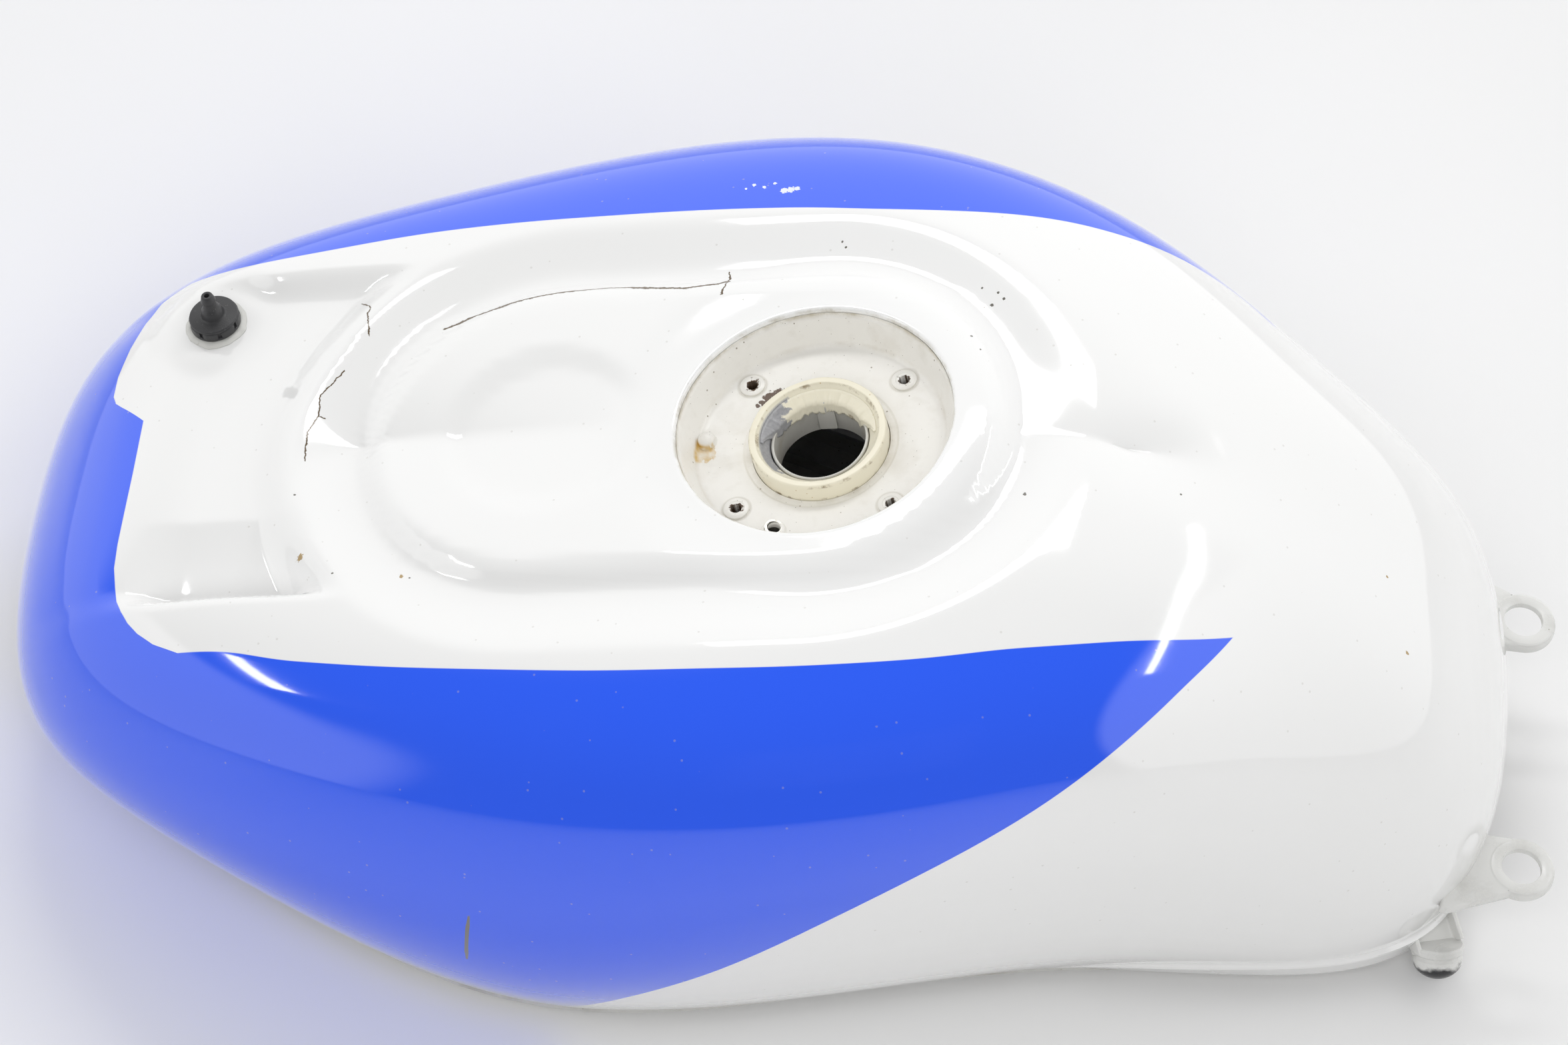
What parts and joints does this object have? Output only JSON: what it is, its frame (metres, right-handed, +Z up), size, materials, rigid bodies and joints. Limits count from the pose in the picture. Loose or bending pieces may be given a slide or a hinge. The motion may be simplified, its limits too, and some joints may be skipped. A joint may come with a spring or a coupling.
{
  "type": "motorcycle fuel tank",
  "caption": "Motorcycle fuel tank with a recessed filler, raised top land, frame tunnel, rear mounting ears and a vent valve.",
  "frame": {"origin": "middle of the length and width, on the plane that the underside rests on", "axes": "+X forward towards the nose, +Y to the rider's left, +Z up"},
  "size_m": [0.6979, 0.4054, 0.2478],
  "materials": {
    "tank_paint": "glossy white paint with a blue side band",
    "primer": "dull grey-white underside paint",
    "neck_paint": "yellowed cream paint",
    "sleeve_metal": "dull grey metal",
    "zinc_steel": "dull zinc",
    "sealer": "pale translucent sealer",
    "black_plastic": "matte black moulding",
    "bright_steel": "polished ball"
  },
  "bodies": {
    "tank": {"outer_shell": "tank_paint", "floor_pan": "primer", "filler_cup": "tank_paint", "filler_neck": "neck_paint", "neck_sleeve": "sleeve_metal", "cap_screw_boss_front_left": "tank_paint", "cap_screw_boss_front_right": "tank_paint", "cap_screw_boss_rear_left": "tank_paint", "cap_screw_boss_rear_right": "tank_paint", "locating_dowel": "tank_paint", "drain_tube": "zinc_steel", "vent_boss": "zinc_steel", "vent_seal": "sealer", "vent_pipe": "zinc_steel", "rear_ear_left": "tank_paint", "rear_ear_right": "tank_paint", "side_stay_left": "tank_paint", "side_stay_right": "tank_paint", "front_mount_left": "primer", "front_mount_right": "primer", "tap_flange": "zinc_steel", "baffle_front": "zinc_steel", "baffle_rear": "zinc_steel"},
    "vent_cap": {"vent_cap": "black_plastic"},
    "vent_ball": {"vent_ball": "bright_steel"}
  },
  "joints": [
    {"name": "vent_cap_turn", "type": "hinge", "parent": "tank", "child": "vent_cap", "pos_m": [0.276, -0.072, 0.15], "axis": [0.2079, 0, 0.9781], "range_deg": [0, 90]},
    {"name": "vent_ball_lift", "type": "slide", "parent": "tank", "child": "vent_ball", "axis": [0.2079, 0, 0.9781], "range_m": [0, 0.0022]}
  ]
}
